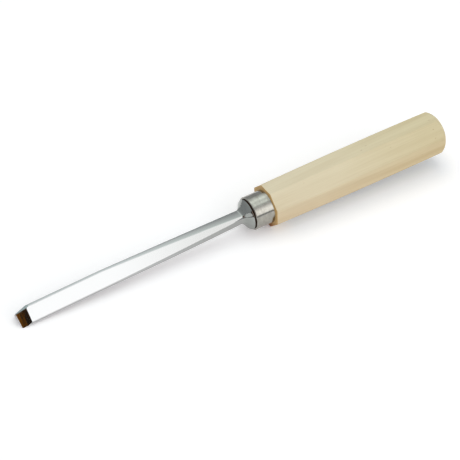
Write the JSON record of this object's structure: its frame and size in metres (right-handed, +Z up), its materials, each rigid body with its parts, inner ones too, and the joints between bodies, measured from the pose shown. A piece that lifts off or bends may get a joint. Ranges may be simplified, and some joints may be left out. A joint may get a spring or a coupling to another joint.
{
  "type": "carving v-tool",
  "caption": "Straight carving v-tool: polished steel vee blade with chamfered shank and round bolster, plated ferrule, eight-sided wooden handle.",
  "frame": {"origin": "on the tool's axis, half way along the ferrule", "axes": "+X along the tool's axis towards the butt of the handle, so the cutting edge is at -X; +Z up, with the keel of the vee upward and its mouth downward"},
  "size_m": [0.2708, 0.0262, 0.0262],
  "materials": {
    "blade_steel": "mirror polished",
    "ferrule_plate": "polished nickel plate",
    "handle_wood": "pale hardwood, sanded and waxed"
  },
  "bodies": {
    "root": {"blade": "blade_steel", "ferrule": "ferrule_plate", "handle": "handle_wood"}
  },
  "joints": []
}
